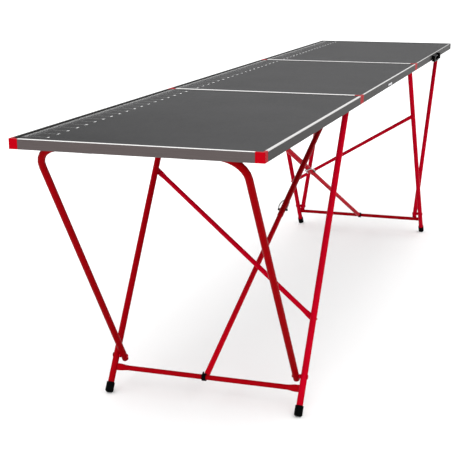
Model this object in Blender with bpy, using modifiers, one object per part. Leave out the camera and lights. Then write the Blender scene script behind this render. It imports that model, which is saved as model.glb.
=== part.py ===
# Folding wallpaper pasting table: three hinged panels on two folding end frames with telescopic stays.
# Metres, +Z up. The origin lies on the floor under the middle of the table, and X runs along it.
# The near end is at -X and the far end at +X. The far end frame is the near one turned half round.

import math

import bmesh
import bpy
from mathutils import Matrix, Vector

# Whole table
table_height = 0.775
table_width = 0.600
panel_length = 1.000
fit_gap = 0.0003          # between pieces that touch
cut_overrun = 0.004       # how far every cutter runs past the piece it cuts
weld_distance = 0.00001

# Panel frames: aluminium, with a lip over the board, a shelf under it and a flange at the bottom
rail_height = 0.024
rail_width = 0.012
rail_wall = 0.0012        # shelf and bottom flange
rail_web = 0.0025         # upright outer wall
lip_width = 0.0065
lip_thickness = 0.0015
board_thickness = 0.004
cap_length = 0.022        # red corner caps, flush in reliefs of the frame
cap_wall = 0.001
cap_corner_radius = 0.002

# Panel hinges under the joints
hinge_length = 0.360
hinge_knuckles = 9
knuckle_radius = 0.004
hinge_pin_radius = 0.0022
hinge_leaf_thickness = 0.0015
leaf_seat_share = 0.94    # of the knuckle's radius, where the leaf's top lies

# End frames, mounted under the end panels
leg_top_from_joint = 0.065
leg_foot_from_joint = 0.575   # to where the leg's centre line meets the floor
hoop_bar_from_end = 0.0215
far_frame_inset = 0.033   # the far frame is mounted this much nearer the middle
tube_drop = 0.018         # from the table's top down to the hoop bar and the leg tops
tube_wall = 0.0012
leg_radius = 0.009
leg_from_side = 0.030     # from the panel's long side to the leg's centre line
leg_top_stub = 0.004      # leg above its top rod
hoop_radius = 0.009
hoop_from_leg = 0.0225    # between their centre lines
hoop_bend_radius = 0.065
hoop_tail = 0.0148         # hoop past its rivet
pivot_from_foot = 0.110   # along the leg
crossbar_from_foot = 0.077
crossbar_radius = 0.007
brace_radius = 0.007
brace_high_drop = 0.212
brace_low_height = 0.225
brace_tail = 0.005        # brace past the leg's centre line
flat_end_length = 0.022
crossbar_flat_length = 0.008
flat_taper_length = 0.026
crossbar_flat_wide_share = 1.45   # of the tube's diameter, where it is pressed flat
brace_flat_wide_share = 1.20
flat_thin_share = 0.36

# Boots on the legs
boot_radius = 0.0114
boot_length = 0.028
boot_floor = 0.005
boot_chamfer = 0.0035
boot_flat_depth = 0.0015  # pared off level with the floor

# Rivets through the hoop and the legs
rivet_radius = 0.003
rivet_head_radius = 0.0065
rivet_head_height = 0.0012
rivet_collar_radius = 0.006
rivet_tail_radius = 0.0055
rivet_tail_height = 0.0010
dome_rim_share = 0.4
dome_top_share = 0.6

# Rod through the leg tops and the hooks that take it
top_rod_radius = 0.004
rod_head_radius = 0.006
rod_head_height = 0.002
hook_thickness = 0.003
hook_slack = 0.0004
hook_back = 0.012
hook_front = 0.016
hook_lip = 0.006
hook_base_thickness = 0.002
hook_standoff = 0.0015

# Clips that carry the hoop bar
clip_from_bend = 0.0625   # from the hoop's bend to the clip's middle
clip_width = 0.024
clip_back = 0.015
clip_front = 0.004
clip_toe = 0.004          # how far short of the bar's centre line the lower jaw ends
clip_wall = 0.002
clip_strip_thickness = 0.002

# Telescopic stays
near_anchor_from_joint = 0.080   # the joint at the other end of the middle panel
near_anchor_y = 0.047
far_anchor_from_joint = 0.045
far_anchor_y = 0.100
anchor_drop = 0.040
stay_upper_radius = 0.0095
stay_lower_radius = 0.008
stay_slide_gap = 0.0004
stay_upper_length = 0.872
stay_insert = 0.050
stay_foot_standoff = 0.005
tongue_thickness = 0.005
tongue_radius = 0.008
tube_to_anchor = 0.022
tongue_root = 0.010
anchor_pin_radius = 0.003
anchor_head_radius = 0.005
anchor_head_height = 0.0015
ear_gap = 0.001
ear_thickness = 0.002
ear_width = 0.022
ear_below_pin = 0.009
anchor_base_length = 0.050
anchor_base_width = 0.034
anchor_base_thickness = 0.002

# Lock on each stay: a wire bail with a black knob at each end, whose stubs sit in the tube's wall
lock_from_tube_end = 0.030
stub_radius = 0.0025
knob_radius = 0.004
knob_height = 0.0065
knob_chamfer = 0.001
bail_wire_radius = 0.002
bail_length = 0.068
bail_slack = 0.002        # between the wire and the tube that it goes round
# Places along the wire as shares of its stand-off under the tube, a knob's distance and its length
bail_path_shares = (
    (0, 1, 0), (0, 1.25, 0.14), (0, 1.38, 0.34), (-0.05, 1.22, 0.58), (-0.35, 0.98, 0.80),
    (-0.92, 0.50, 0.97), (-1.02, 0, 1), (-1, -0.30, 0.88), (-1, -0.40, 0.60), (-0.98, -0.50, 0.32),
    (-0.80, -0.72, 0.14), (-0.35, -0.98, 0.05), (0, -1, 0),
)

# Collar that clips the stay's foot to the crossbar
collar_radius = 0.0105
collar_width = 0.011
collar_under_foot = 0.0095    # how far the ring reaches under the stay's foot
collar_lug_length = 0.014
collar_lug_width = 0.012
collar_lug_thickness = 0.003

# Carrying handle on the far panel
handle_from_end = 0.434
handle_span = 0.160
handle_drop = 0.0165
handle_hang = 0.013
handle_radius = 0.0042
handle_bend_radius = 0.006
handle_mount_length = 0.016
handle_mount_depth = 0.0128
handle_mount_height = 0.024
handle_peg_length = 0.007
handle_plate_thickness = 0.0018

# Catch on the middle panel, turning on its own pin in the frame
catch_pivot_x = -0.028
catch_drop = 0.0155
catch_length = 0.050
catch_width = 0.0062
catch_thickness = 0.0015
catch_eye_radius = 0.0048
catch_pin_radius = 0.002
catch_head_radius = 0.0035
catch_head_height = 0.0014
catch_tail_height = 0.0015
catch_notch_width = 0.0045
catch_notch_from_tip = 0.004
catch_notch_share = 0.55

# How finely round things are drawn
fine_sides = 16
small_sides = 12
tube_smoothness = 6
wire_smoothness = 1
bend_steps = 7
corner_steps = 3
taper_steps = 4
curve_steps = 3
smooth_angle = math.radians(40)

# Places worked out from the sizes
half_width = table_width / 2
half_panel = panel_length / 2
table_end_x = half_panel + panel_length
rail_bottom_z = table_height - rail_height
board_top_z = table_height - lip_thickness - fit_gap
board_bottom_z = board_top_z - board_thickness
groove_bottom_z = board_bottom_z - fit_gap
underside_z = board_bottom_z - fit_gap
hinge_axis_z = rail_bottom_z - fit_gap - knuckle_radius
tube_line_z = table_height - tube_drop
leg_top_x = half_panel + leg_top_from_joint
leg_foot_x = half_panel + leg_foot_from_joint
hoop_bar_x = table_end_x - hoop_bar_from_end
leg_place_y = half_width - leg_from_side
hoop_place_y = leg_place_y - hoop_from_leg
clip_place_y = hoop_place_y - hoop_bend_radius - clip_from_bend
brace_low_drop = table_height - brace_low_height
near_anchor_x = half_panel - near_anchor_from_joint
far_anchor_x = half_panel - far_anchor_from_joint
handle_end_x = table_end_x - handle_from_end
handle_start_x = handle_end_x - handle_span
anchor_z = table_height - anchor_drop
UP = Vector((0, 0, 1))
SIDE = Vector((0, 1, 0))


# Scene, collections and materials

for leftover in list(bpy.data.objects):
    bpy.data.objects.remove(leftover, do_unlink=True)

parts = bpy.data.collections.new("Pasting table")
cutters = bpy.data.collections.new("Cutters")
bpy.context.scene.collection.children.link(parts)
bpy.context.scene.collection.children.link(cutters)


def make_material(name, colour, roughness, metallic):
    material = bpy.data.materials.new(name)
    material.use_nodes = True
    shader = material.node_tree.nodes["Principled BSDF"]
    shader.inputs["Base Color"].default_value = (*colour, 1)
    shader.inputs["Roughness"].default_value = roughness
    shader.inputs["Metallic"].default_value = metallic
    material.diffuse_color = (*colour, 1)
    return material


LOOKS = {
    "board": ((0.125, 0.125, 0.125), 0.60, 0),
    "rail": ((0.17, 0.16, 0.155), 0.45, 0.6),
    "cap": ((0.75, 0.01, 0.03), 0.45, 0),
    "red tube": ((0.52, 0.004, 0.012), 0.35, 0),
    "black": ((0.012, 0.012, 0.013), 0.50, 0),
    "steel": ((0.60, 0.60, 0.61), 0.32, 1),
}


# Shapes, each returned as a mesh in the coordinates it is given in

def mesh_of(bm):
    bmesh.ops.recalc_face_normals(bm, faces=bm.faces)
    mesh = bpy.data.meshes.new("shape")
    bm.to_mesh(mesh)
    bm.free()
    return mesh


def baked(source):
    """The evaluated shape of an object as one welded mesh, after which the object goes."""
    bpy.context.view_layer.update()
    graph = bpy.context.evaluated_depsgraph_get()
    raw = bpy.data.meshes.new_from_object(source.evaluated_get(graph))
    bpy.data.objects.remove(source, do_unlink=True)
    bm = bmesh.new()
    bm.from_mesh(raw)
    bmesh.ops.remove_doubles(bm, verts=bm.verts, dist=weld_distance)
    bpy.data.meshes.remove(raw)
    return mesh_of(bm)


def helper_object(data):
    helper = bpy.data.objects.new("helper", data)
    helper.hide_render = True
    helper.display_type = "WIRE"
    cutters.objects.link(helper)
    return helper


def box(low, high):
    low = Vector(low)
    high = Vector(high)
    bm = bmesh.new()
    place = Matrix.Translation((low + high) / 2) @ Matrix.Diagonal((*(high - low), 1))
    bmesh.ops.create_cube(bm, size=1, matrix=place)
    return mesh_of(bm)


def rod(start, end, radius, sides=fine_sides):
    start = Vector(start)
    end = Vector(end)
    along = end - start
    turn = along.to_track_quat("Z", "Y").to_matrix().to_4x4()
    place = Matrix.Translation((start + end) / 2) @ turn
    bm = bmesh.new()
    bmesh.ops.create_cone(bm, cap_ends=True, cap_tris=False, segments=sides, radius1=radius,
                          radius2=radius, depth=along.length, matrix=place)
    return mesh_of(bm)


def bent_tube(points, radius, smoothness=tube_smoothness):
    curve = bpy.data.curves.new("path", "CURVE")
    curve.dimensions = "3D"
    curve.bevel_depth = radius
    curve.bevel_resolution = smoothness
    curve.use_fill_caps = True
    spline = curve.splines.new("POLY")
    spline.points.add(len(points) - 1)
    for knot, point in zip(spline.points, points):
        knot.co = (*point, 1)
    return baked(helper_object(curve))


def turned(profile, sides=fine_sides):
    """A profile of (radius, height) that runs down its outer side, turned round Z."""
    outline = bpy.data.meshes.new("profile")
    points = [(radius, 0, height) for radius, height in profile]
    edges = [(i, i + 1) for i in range(len(points) - 1)]
    outline.from_pydata(points, edges, [])
    helper = helper_object(outline)
    screw = helper.modifiers.new("Turn", "SCREW")
    screw.steps = sides
    screw.render_steps = sides
    screw.use_merge_vertices = True
    screw.merge_threshold = weld_distance
    return baked(helper)


def carved(base, cuts=(), joins=()):
    """The base mesh with the joins united to it and then the cuts taken out."""
    work = helper_object(base)
    tools = []
    for operation, shapes in (("UNION", joins), ("DIFFERENCE", cuts)):
        for shape in shapes:
            tool = helper_object(shape)
            tools.append(tool)
            step = work.modifiers.new("Shape", "BOOLEAN")
            step.operation = operation
            step.object = tool
    result = baked(work)
    for tool in tools:
        bpy.data.objects.remove(tool, do_unlink=True)
    return result


def moved(mesh, matrix):
    mesh.transform(matrix)
    return mesh


def together(meshes):
    """Several cutters, or shapes of one cutter, in one mesh."""
    bm = bmesh.new()
    for mesh in meshes:
        bm.from_mesh(mesh)
    return mesh_of(bm)


def other_side(mesh):
    """A copy on the other side of the table's middle line."""
    copy = mesh.copy()
    copy.transform(Matrix.Scale(-1, 4, SIDE))
    copy.flip_normals()
    return copy


def axes(origin, x_axis, y_axis, z_axis):
    turn = Matrix((x_axis, y_axis, z_axis)).transposed().to_4x4()
    return Matrix.Translation(origin) @ turn


def bend(corner, arm_in, arm_out, radius):
    """Points round a right-angled bend, from along arm_in to along arm_out."""
    corner = Vector(corner)
    points = []
    for i in range(bend_steps + 1):
        turn = math.pi / 2 * i / bend_steps
        back = radius * (1 - math.sin(turn))
        out = radius * (1 - math.cos(turn))
        points.append(corner - arm_in * back + arm_out * out)
    return points


# Objects, with empties on the joints' axes

def joint(name, place, parent=None):
    empty = bpy.data.objects.new(name, None)
    empty.empty_display_size = rail_height
    parts.objects.link(empty)
    empty.matrix_world = Matrix.Translation(place)
    bpy.context.view_layer.update()
    if parent:
        empty.parent = parent
        empty.matrix_parent_inverse = parent.matrix_world.inverted()
    return empty


materials = {name: make_material(name, *look) for name, look in LOOKS.items()}


def add_part(name, mesh, look, parent, frame):
    """A finished mesh, given in the end frame's coordinates, as a part on its joint."""
    origin = parent.matrix_world.translation
    mesh.transform(Matrix.Translation(-origin) @ frame)
    mesh.shade_smooth()
    mesh.set_sharp_from_angle(angle=smooth_angle)
    mesh.materials.clear()
    mesh.materials.append(materials[look])
    mesh.name = name
    part = bpy.data.objects.new(name, mesh)
    parts.objects.link(part)
    part.parent = parent
    return part


# Panels

def layer(x_low, x_high, inset, z_low, z_high):
    """A box as large as a panel less an inset all round, between two heights."""
    return box((x_low + inset, inset - half_width, z_low), (x_high - inset, half_width - inset, z_high))


def corner_region(x_edge, x_inward, y_edge, y_inward, start, reach, z_low, z_high):
    """A box at a panel's corner, from start to reach in from both of its outer faces."""
    xs = sorted((x_edge + x_inward * start, x_edge + x_inward * reach))
    ys = sorted((y_edge + y_inward * start, y_edge + y_inward * reach))
    return box((xs[0], ys[0], z_low), (xs[1], ys[1], z_high))


def rounded_corner(mesh, x_edge, y_edge):
    """The mesh with its upright edge at this corner rounded."""
    bm = bmesh.new()
    bm.from_mesh(mesh)
    upright = [
        edge for edge in bm.edges
        if all(abs(v.co.x - x_edge) < fit_gap and abs(v.co.y - y_edge) < fit_gap for v in edge.verts)
    ]
    bmesh.ops.bevel(bm, geom=upright, offset=cap_corner_radius, segments=corner_steps,
                    affect="EDGES", profile=0.5)
    return mesh_of(bm)


def cap_mesh(corner):
    """A cap: two outer walls and an L of lip on top."""
    block = corner_region(*corner, 0, cap_length, rail_bottom_z, table_height)
    block = rounded_corner(block, corner[0], corner[2])
    lip_low = table_height - lip_thickness
    inside = corner_region(*corner, cap_wall, cap_length + cut_overrun,
                           rail_bottom_z - cut_overrun, lip_low)
    window = corner_region(*corner, lip_width, cap_length + cut_overrun,
                           lip_low - fit_gap, table_height + cut_overrun)
    return carved(block, [inside, window])


def relief_mesh(corner):
    """What the frame gives up at a corner to take its cap."""
    reach = cap_length + fit_gap
    high = table_height + cut_overrun
    shell = corner_region(*corner, -cut_overrun, reach, rail_bottom_z - cut_overrun, high)
    kept = corner_region(*corner, cap_wall + fit_gap, reach + cut_overrun,
                         rail_bottom_z - cut_overrun * 2, table_height - lip_thickness - fit_gap)
    return carved(shell, [kept])


dark_caps = ("far_cap_end_front", "far_cap_end_back")


def build_panel(prefix, x_low, x_high, corner_names, parent, frame, holes=()):
    flange_top = rail_bottom_z + rail_wall
    shelf_low = groove_bottom_z - rail_wall
    below = rail_bottom_z - cut_overrun
    above = table_height + cut_overrun
    tray = layer(x_low, x_high, 0, rail_bottom_z, table_height)
    corners = {
        name: (x_edge, x_inward, side * half_width, -side)
        for name, x_edge, x_inward, side in (
            (corner_names[0], x_low, 1, -1), (corner_names[1], x_low, 1, 1),
            (corner_names[2], x_high, -1, -1), (corner_names[3], x_high, -1, 1))
    }
    cuts = [
        layer(x_low, x_high, lip_width, board_top_z, above),
        layer(x_low, x_high, rail_web, groove_bottom_z, table_height - lip_thickness),
        layer(x_low, x_high, rail_width, below, board_top_z),
        layer(x_low, x_high, rail_web, flange_top, shelf_low),
        together([relief_mesh(corner) for corner in corners.values()]),
        *holes,
    ]
    add_part(f"{prefix}_frame", carved(tray, cuts), "rail", parent, frame)
    board = layer(x_low, x_high, rail_web + fit_gap, board_bottom_z, board_top_z)
    add_part(f"{prefix}_board", board, "board", parent, frame)
    for name, corner in corners.items():
        own_name = f"{prefix}_cap_{name}"
        look = "black" if own_name in dark_caps else "cap"
        add_part(own_name, cap_mesh(corner), look, parent, frame)


# Hinges under the joints, in the end frame's coordinates with the moving leaf towards +X

def hinge_leaf(direction, knuckles, pin):
    """A leaf on one side of the joint with every other knuckle, and the pin or the bore for it."""
    half_hinge = hinge_length / 2
    leaf_top = knuckle_radius * leaf_seat_share
    leaf_low = leaf_top - hinge_leaf_thickness
    leaf_start = knuckle_radius + fit_gap
    xs = sorted((direction * leaf_start, direction * (rail_width - fit_gap)))
    leaf = box((xs[0], -half_hinge, leaf_low), (xs[1], half_hinge, leaf_top))
    pitch = hinge_length / hinge_knuckles
    joins = []
    for index in knuckles:
        start = pitch * index - half_hinge + fit_gap / 2
        end = start + pitch - fit_gap
        tabs = sorted((0, direction * (leaf_start + rail_wall)))
        joins.append(box((tabs[0], start, leaf_low), (tabs[1], end, leaf_top)))
        joins.append(rod((0, start, 0), (0, end, 0), knuckle_radius))
    cuts = []
    if pin:
        reach = half_hinge - fit_gap / 2
        joins.append(rod((0, -reach, 0), (0, reach, 0), hinge_pin_radius, small_sides))
    else:
        reach = half_hinge + cut_overrun
        cuts.append(rod((0, -reach, 0), (0, reach, 0), hinge_pin_radius + fit_gap, small_sides))
    return moved(carved(leaf, cuts, joins), Matrix.Translation((half_panel, 0, hinge_axis_z)))


def build_hinges(root, ends):
    for prefix, end in ends.items():
        fixed = hinge_leaf(-1, range(0, hinge_knuckles, 2), True)
        moving = hinge_leaf(1, range(1, hinge_knuckles, 2), False)
        add_part(f"{prefix}_hinge_fixed_leaf", fixed, "steel", root, end["frame"])
        add_part(f"{prefix}_hinge_moving_leaf", moving, "steel", end["panel"], end["frame"])


# End frames, in coordinates where +X points outward from the middle of the table

def flatten_ends(mesh, middle, axis, wide, thin, half_length, flat_length, wide_share):
    """Presses both ends of a straight tube flat, with a smooth taper to the round part."""
    for vertex in mesh.vertices:
        offset = vertex.co - middle
        from_end = half_length - abs(offset.dot(axis)) - flat_length
        share = min(1, max(0, from_end / flat_taper_length))
        flat = 1 - share * share * (3 - 2 * share)
        offset += wide * offset.dot(wide) * (wide_share - 1) * flat
        offset += thin * offset.dot(thin) * (flat_thin_share - 1) * flat
        vertex.co = middle + offset
    return mesh


def flat_ended_tube(start, end, radius, thin, flat_length, wide_share):
    start = Vector(start)
    end = Vector(end)
    axis = (end - start).normalized()
    length = (end - start).length
    stations = [0] + [flat_length + flat_taper_length * i / taper_steps for i in range(taper_steps + 1)]
    stations += [length - station for station in reversed(stations)]
    mesh = bent_tube([start + axis * station for station in stations], radius)
    wide = axis.cross(thin)
    return flatten_ends(mesh, (start + end) / 2, axis, wide, thin, length / 2, flat_length, wide_share)


def across(point, reach):
    """Two places on the line through a point along Y, reach to each side of the middle."""
    return (point.x, -reach, point.z), (point.x, reach, point.z)


def frame_places(inset):
    """The end frame's own points and directions."""
    top = Vector((leg_top_x - inset, 0, tube_line_z))
    foot = Vector((leg_foot_x - inset, 0, 0))
    down = (foot - top).normalized()
    hoop_bar = Vector((hoop_bar_x - inset, 0, tube_line_z))
    pivot = foot - down * pivot_from_foot
    return {
        "top": top, "down": down, "hoop bar": hoop_bar, "pivot": pivot,
        "crossbar": foot - down * crossbar_from_foot,
        "inner face": SIDE.cross(down).normalized(),
        "hoop down": (pivot - hoop_bar).normalized(),
        "hoop length": (pivot - hoop_bar).length,
    }


def hoop_tube(places, radius, tail):
    """The hoop's tube, or the core of its bore, running this far past its rivets."""
    bar = places["hoop bar"]
    down = places["hoop down"]
    left = bar - SIDE * hoop_place_y
    right = bar + SIDE * hoop_place_y
    reach = places["hoop length"] + tail
    path = [left + down * reach]
    path += bend(left, -down, SIDE, hoop_bend_radius)
    path += bend(right, SIDE, down, hoop_bend_radius)
    path += [right + down * reach]
    return bent_tube(path, radius)


def hoop_mesh(places):
    core = hoop_tube(places, hoop_radius - tube_wall, hoop_tail + cut_overrun)
    hole = rod(*across(places["pivot"], half_width), rivet_radius + fit_gap, small_sides)
    return carved(hoop_tube(places, hoop_radius, hoop_tail), [core, hole])


def clips_mesh(places):
    """Two clips on one strip: each a hook, open towards the end rail, round the hoop's bar."""
    bar = places["hoop bar"]
    half_strip = clip_place_y + clip_width / 2
    strip = box((bar.x - clip_back, -half_strip, underside_z - clip_strip_thickness),
                (bar.x + clip_front, half_strip, underside_z))
    blocks = []
    for side in (-1, 1):
        low_y = side * clip_place_y - clip_width / 2
        blocks.append(box((bar.x - clip_back, low_y, bar.z - hoop_radius - fit_gap - clip_wall),
                          (bar.x + clip_front, low_y + clip_width, underside_z)))
    bore = rod(*across(bar, half_strip + cut_overrun), hoop_radius + fit_gap)
    mouth = box((bar.x - clip_toe, -half_strip - cut_overrun, bar.z - hoop_radius * 2),
                (bar.x + clip_front + cut_overrun, half_strip + cut_overrun, bar.z))
    return carved(strip, [bore, mouth], blocks)


def boot_end_along_leg(places):
    """How far down the leg's line the boot ends, so that it is pared level with the floor."""
    down = places["down"]
    slope = -down.z
    lean = math.sqrt(1 - slope * slope)
    drop = tube_line_z + boot_flat_depth - (boot_radius - boot_chamfer) * lean
    return drop / slope


def leg_mesh(places, side):
    top = places["top"] + SIDE * side * leg_place_y
    end = boot_end_along_leg(places) - boot_floor - fit_gap
    down = places["down"]
    leg = rod(top - down * leg_top_stub, top + down * end, leg_radius)
    core = rod(top - down * (leg_top_stub + cut_overrun), top + down * (end + cut_overrun),
               leg_radius - tube_wall)
    reach = leg_place_y + leg_radius + cut_overrun
    pivot_hole = rod(*across(places["pivot"], reach), rivet_radius + fit_gap, small_sides)
    top_hole = rod(*across(places["top"], reach), top_rod_radius + fit_gap, small_sides)
    return carved(leg, [core, pivot_hole, top_hole])


def boot_mesh(places):
    bore = leg_radius + fit_gap
    profile = [
        (0, boot_floor), (bore, boot_floor), (bore, boot_length), (boot_radius, boot_length),
        (boot_radius, boot_chamfer), (boot_radius - boot_chamfer, 0), (0, 0),
    ]
    down = places["down"]
    end = places["top"] + SIDE * leg_place_y + down * boot_end_along_leg(places)
    boot = moved(turned(profile), axes(end, SIDE.cross(-down), SIDE, -down))
    below = box((end.x - boot_length, leg_place_y - boot_length, -boot_length),
                (end.x + boot_length, leg_place_y + boot_length, 0))
    return carved(boot, [below])


def rivet_mesh(places):
    leg_out = leg_place_y + leg_radius + fit_gap
    leg_in = leg_place_y - leg_radius - fit_gap
    hoop_out = hoop_place_y + hoop_radius + fit_gap
    hoop_in = hoop_place_y - hoop_radius - fit_gap
    profile = [
        (0, leg_out + rivet_head_height),
        (rivet_head_radius * dome_top_share, leg_out + rivet_head_height),
        (rivet_head_radius, leg_out + rivet_head_height * dome_rim_share),
        (rivet_head_radius, leg_out), (rivet_radius, leg_out), (rivet_radius, leg_in),
        (rivet_collar_radius, leg_in), (rivet_collar_radius, hoop_out), (rivet_radius, hoop_out),
        (rivet_radius, hoop_in), (rivet_tail_radius, hoop_in),
        (rivet_tail_radius, hoop_in - rivet_tail_height), (0, hoop_in - rivet_tail_height),
    ]
    pivot = places["pivot"]
    turn = axes(pivot, UP, SIDE.cross(UP), SIDE)
    return moved(turned(profile, small_sides), turn)


def top_rod_mesh(places):
    """The rod through both leg tops, with a head outside each leg."""
    top = places["top"]
    leg_out = leg_place_y + leg_radius + fit_gap
    heads = [
        rod((top.x, side * leg_out, top.z), (top.x, side * (leg_out + rod_head_height), top.z),
            rod_head_radius, small_sides)
        for side in (-1, 1)
    ]
    reach = leg_out + rod_head_height / 2
    return carved(rod(*across(top, reach), top_rod_radius, small_sides), [], heads)


def hooks_mesh(places):
    """Two plates on a strip under the board, with slots open outward for the top rod."""
    top = places["top"]
    outer = leg_place_y - leg_radius - hook_standoff
    opening = top_rod_radius + hook_slack
    x_low = top.x - hook_back
    x_high = top.x + hook_front
    strip = box((x_low, -outer, underside_z - hook_base_thickness), (x_high, outer, underside_z))
    plates = []
    for side in (-1, 1):
        ys = sorted((side * outer, side * (outer - hook_thickness)))
        plates.append(box((x_low, ys[0], top.z - opening - hook_lip), (x_high, ys[1], underside_z)))
    seat = rod(*across(top, outer + cut_overrun), opening)
    mouth = box((top.x, -outer - cut_overrun, top.z - opening),
                (x_high + cut_overrun, outer + cut_overrun, top.z + opening))
    return carved(strip, [seat, mouth], plates)


def crossbar_mesh(places):
    reach = leg_place_y - leg_radius - fit_gap
    start, end = across(places["crossbar"], reach)
    return flat_ended_tube(start, end, crossbar_radius, places["inner face"], crossbar_flat_length,
                           crossbar_flat_wide_share)


def brace_mesh(places):
    """The slanting brace on the legs' inner face, high on one leg and low on the other."""
    down = places["down"]
    stand = leg_radius + fit_gap + brace_radius * flat_thin_share
    offset = places["inner face"] * stand
    ends = []
    for drop, side in ((brace_high_drop, -1), (brace_low_drop, 1)):
        along = (drop - tube_drop) / -down.z
        ends.append(places["top"] + down * along + SIDE * side * leg_place_y + offset)
    axis = (ends[1] - ends[0]).normalized()
    return flat_ended_tube(ends[0] - axis * brace_tail, ends[1] + axis * brace_tail, brace_radius,
                           places["inner face"], flat_end_length, brace_flat_wide_share)


# Stays, in a frame at the anchor whose Z runs up the stay and whose Y is the swing axis

def stay_places(places, anchor_x, anchor_y):
    anchor = Vector((-anchor_x, anchor_y, anchor_z))
    foot = places["crossbar"]
    along = (anchor - foot).normalized()
    swing = Vector((along.y, -along.x, 0)).normalized()
    level = swing.cross(UP)
    return {
        "anchor": anchor, "length": (anchor - foot).length, "along": along,
        "frame": axes(anchor, swing.cross(along), swing, along),
        "bracket frame": axes(anchor, level, swing, UP),
    }


def stay_upper_mesh(stay):
    low = -stay_upper_length
    tube = rod((0, 0, low), (0, 0, -tube_to_anchor), stay_upper_radius)
    half_tongue = tongue_thickness / 2
    root = -tube_to_anchor - tongue_root / 2
    tongue = box((-tongue_radius, -half_tongue, root), (tongue_radius, half_tongue, 0))
    eye = rod((0, -half_tongue, 0), (0, half_tongue, 0), tongue_radius)
    bore = rod((0, 0, low - cut_overrun), (0, 0, -tube_to_anchor - tongue_root),
               stay_lower_radius + stay_slide_gap)
    pin_hole = rod((0, -half_tongue - cut_overrun, 0), (0, half_tongue + cut_overrun, 0),
                   anchor_pin_radius + fit_gap, small_sides)
    lock_z = low + lock_from_tube_end
    reach = stay_upper_radius + cut_overrun
    lock_hole = rod((0, -reach, lock_z), (0, reach, lock_z), stub_radius + fit_gap, small_sides)
    mesh = carved(tube, [bore, pin_hole, lock_hole], [tongue, eye])
    return moved(mesh, stay["frame"])


def collar_ends(places, spare=0):
    """The middles of the collar ring's two faces, each moved out by the spare length."""
    middle = places["crossbar"]
    inner_y = collar_under_foot - stay_lower_radius
    return (middle - SIDE * (collar_width - inner_y + spare), middle + SIDE * (inner_y + spare))


def stay_lower_mesh(places, stay):
    low = stay_foot_standoff - stay["length"]
    high = stay_insert - stay_upper_length
    tube = moved(rod((0, 0, low), (0, 0, high), stay_lower_radius), stay["frame"])
    core = rod((0, 0, low - cut_overrun), (0, 0, high + cut_overrun), stay_lower_radius - tube_wall)
    saddle = rod(*across(places["crossbar"], collar_lug_length), crossbar_radius + fit_gap)
    ring_room = rod(*collar_ends(places, fit_gap), collar_radius + fit_gap)
    return carved(tube, [moved(core, stay["frame"]), saddle, ring_room])


def stay_bracket_mesh(stay):
    ear_in = tongue_thickness / 2 + ear_gap
    ear_out = ear_in + ear_thickness
    half_ear = ear_width / 2
    top = underside_z - anchor_z
    half_base = anchor_base_length / 2
    half_base_width = anchor_base_width / 2
    base = box((-half_base, -half_base_width, top - anchor_base_thickness),
               (half_base, half_base_width, top))
    joins = []
    for side in (-1, 1):
        near_y, far_y = sorted((side * ear_in, side * ear_out))
        joins.append(box((-half_ear, near_y, -ear_below_pin),
                         (half_ear, far_y, top - anchor_base_thickness / 2)))
        head_y = side * (ear_out + anchor_head_height)
        joins.append(rod((0, side * ear_in, 0), (0, head_y, 0), anchor_head_radius, small_sides))
    joins.append(rod((0, -ear_out, 0), (0, ear_out, 0), anchor_pin_radius, small_sides))
    return moved(carved(base, [], joins), stay["bracket frame"])


def smooth_path(points):
    """A smooth curve through the points, as a list of close points."""
    ends = [points[0] * 2 - points[1]] + points + [points[-1] * 2 - points[-2]]
    path = []
    for before, start, stop, after in zip(ends, ends[1:], ends[2:], ends[3:]):
        for step in range(curve_steps):
            share = step / curve_steps
            leave = (stop - before) / 2
            arrive = (after - start) / 2
            bow = share * share * (3 - 2 * share)
            path.append(start + (stop - start) * bow + leave * share * (1 - share) ** 2
                        - arrive * share * share * (1 - share))
    return path + [points[-1]]


def bail_mesh(stay):
    """A knob at each side of the tube with a stub in its wall, and a wire loop round the tube's underside."""
    seat = stay_lower_radius + stay_slide_gap + fit_gap
    knob = stay_upper_radius + fit_gap
    top = knob + knob_height
    profile = [
        (0, top), (knob_radius - knob_chamfer, top), (knob_radius, top - knob_chamfer),
        (knob_radius, knob), (stub_radius, knob), (stub_radius, seat), (0, seat),
    ]
    centre = Vector((0, 0, lock_from_tube_end - stay_upper_length))
    right_knob = moved(turned(profile, small_sides), axes(centre, UP, SIDE.cross(UP), SIDE))
    under = stay_upper_radius + bail_slack + bail_wire_radius
    half_span = knob + knob_height / 2
    places = [
        centre + Vector((under * depth, -half_span * side, bail_length * along))
        for depth, side, along in bail_path_shares
    ]
    loop = bent_tube(smooth_path(places), bail_wire_radius, wire_smoothness)
    return moved(carved(loop, [], [right_knob, other_side(right_knob)]), stay["frame"])


def collar_mesh(places, stay):
    """A ring on the crossbar, partly under the stay's foot, with a short lug beside the foot."""
    outer, inner = collar_ends(places)
    over, past = collar_ends(places, collar_lug_thickness + cut_overrun)
    ring = rod(outer, inner, collar_radius)
    bore = rod(over, past, crossbar_radius + fit_gap)
    along = stay["along"]
    level = Vector((along.x, 0, along.z)).normalized()
    half_lug = collar_lug_width / 2
    lug_y = -stay_lower_radius - fit_gap
    lug = box((-half_lug, lug_y - collar_lug_thickness, 0), (half_lug, lug_y, collar_lug_length))
    lug = moved(lug, axes(places["crossbar"], SIDE.cross(level), SIDE, level))
    return carved(ring, [bore], [lug])


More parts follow.
